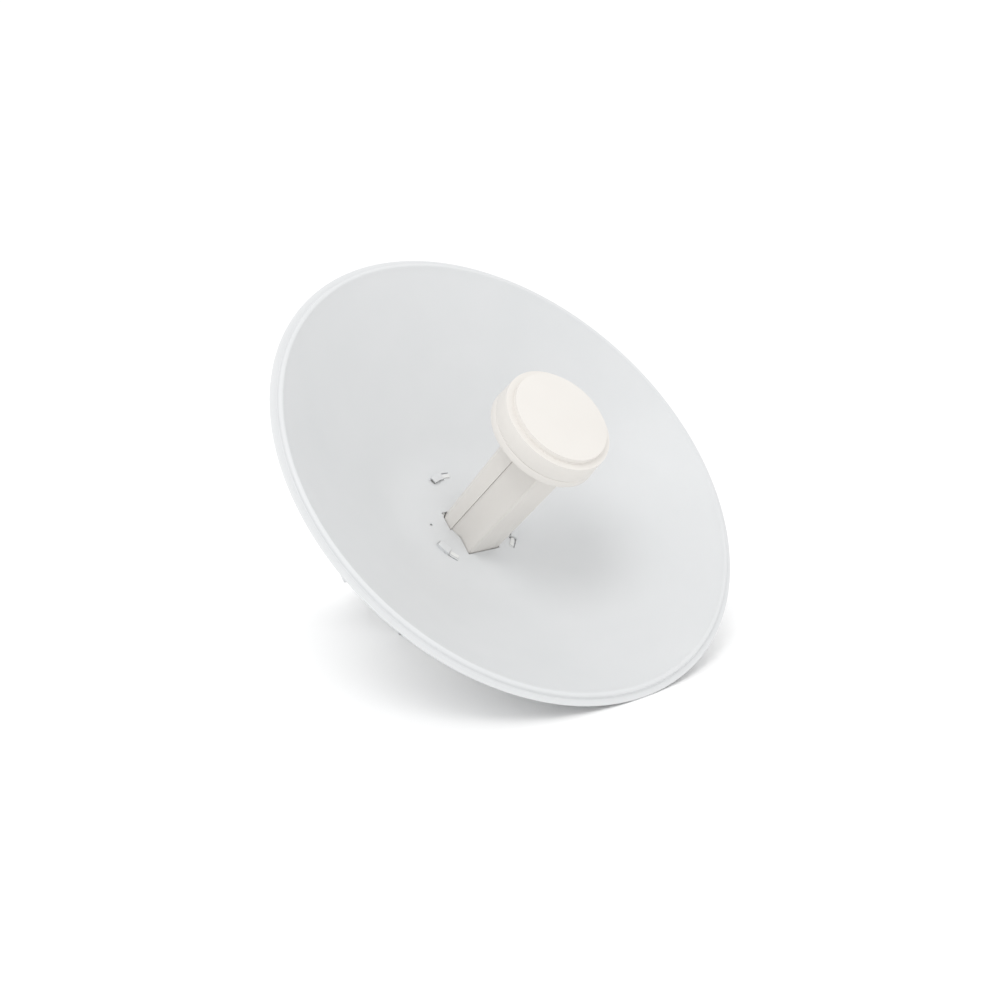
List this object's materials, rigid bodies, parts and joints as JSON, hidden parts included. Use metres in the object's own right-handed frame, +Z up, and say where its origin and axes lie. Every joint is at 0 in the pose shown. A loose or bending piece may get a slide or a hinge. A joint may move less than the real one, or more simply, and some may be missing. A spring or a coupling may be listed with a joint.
{
  "type": "outdoor wireless bridge",
  "caption": "Dish antenna bridge: a round stepped-rim reflector with a push-in feed and round head on its axis, a rear housing and a tilting pole clamp, leaning back on its rim.",
  "frame": {"origin": "centre of the footprint, on the floor that the rim and the two bracket feet stand on", "axes": "+X across the dish, to the right of someone who faces it; the dish looks towards -Y and leans back, with its boresight 42 degrees above the floor; +Z up"},
  "size_m": [0.42, 0.3504, 0.3126],
  "materials": {
    "powder_coat": "white polyester powder coat on pressed aluminium, satin",
    "bracket_coat": "white powder coat on pressed steel, satin",
    "feed_plastic": "moulded UV-stable ASA, warm white, satin",
    "housing_plastic": "moulded UV-stable ASA, cool white, fine texture",
    "grey_plastic": "moulded acetal, grey",
    "clear_plastic": "clear polycarbonate",
    "zinc_steel": "zinc-plated steel",
    "aluminium": "plain aluminium sheet",
    "circuit_board": "glass-epoxy board with green solder mask",
    "tinned_steel": "tin-plated steel sheet",
    "rubber": "silicone cord"
  },
  "bodies": {
    "reflector": {"dish_reflector": "powder_coat", "rear_housing": "housing_plastic", "housing_cover": "housing_plastic", "led_window": "clear_plastic", "dish_bracket": "bracket_coat", "bracket_bolt_1": "zinc_steel", "bracket_bolt_2": "zinc_steel", "bracket_bolt_3": "zinc_steel", "bracket_bolt_4": "zinc_steel", "ground_screw": "zinc_steel"},
    "feed": {"feed_cap": "feed_plastic", "feed_head_base": "feed_plastic", "head_seal": "rubber", "sub_reflector": "aluminium", "radiator": "circuit_board", "stem_upper_shell": "feed_plastic", "stem_lower_shell": "feed_plastic", "stem_screw_1": "zinc_steel", "stem_screw_2": "zinc_steel", "main_board": "circuit_board", "shield_can_1": "tinned_steel", "shield_can_2": "tinned_steel", "heat_spreader": "aluminium", "ethernet_jack": "tinned_steel"},
    "reset": {"reset_button": "grey_plastic"},
    "cover": {"port_cover": "housing_plastic"},
    "release": {"release_button": "grey_plastic"},
    "pole_mount": {"pole_bracket": "bracket_coat", "pivot_left_bolt": "zinc_steel", "pivot_left_nut": "zinc_steel", "lock_left_bolt": "zinc_steel", "lock_left_nut": "zinc_steel", "pivot_right_bolt": "zinc_steel", "pivot_right_nut": "zinc_steel", "lock_right_bolt": "zinc_steel", "lock_right_nut": "zinc_steel", "clamp_nut_1": "zinc_steel", "clamp_nut_2": "zinc_steel"},
    "jaw": {"clamp_jaw": "bracket_coat", "clamp_bolt_1": "zinc_steel", "clamp_bolt_2": "zinc_steel"}
  },
  "joints": [
    {"name": "feed_slide", "type": "slide", "parent": "reflector", "child": "feed", "axis": [0, -0.7432, 0.6691], "range_m": [0, 0.045]},
    {"name": "reset_press", "type": "slide", "parent": "feed", "child": "reset", "axis": [0, 0.6691, 0.7432], "range_m": [0, 0.0008], "stiffness_N_per_m": 600},
    {"name": "port_cover_slide", "type": "slide", "parent": "reflector", "child": "cover", "axis": [0, 0.7432, -0.6691], "range_m": [0, 0.034]},
    {"name": "release_press", "type": "slide", "parent": "reflector", "child": "release", "axis": [0, -0.6691, -0.7432], "range_m": [0, 0.0022], "stiffness_N_per_m": 800},
    {"name": "elevation_tilt", "type": "hinge", "parent": "reflector", "child": "pole_mount", "pos_m": [0, 0.09769, 0.06704], "axis": [1, 0, 0], "range_deg": [-20, 20]},
    {"name": "clamp_slide", "type": "slide", "parent": "pole_mount", "child": "jaw", "axis": [0, 0.7432, -0.6691], "range_m": [0, 0.0161]}
  ]
}
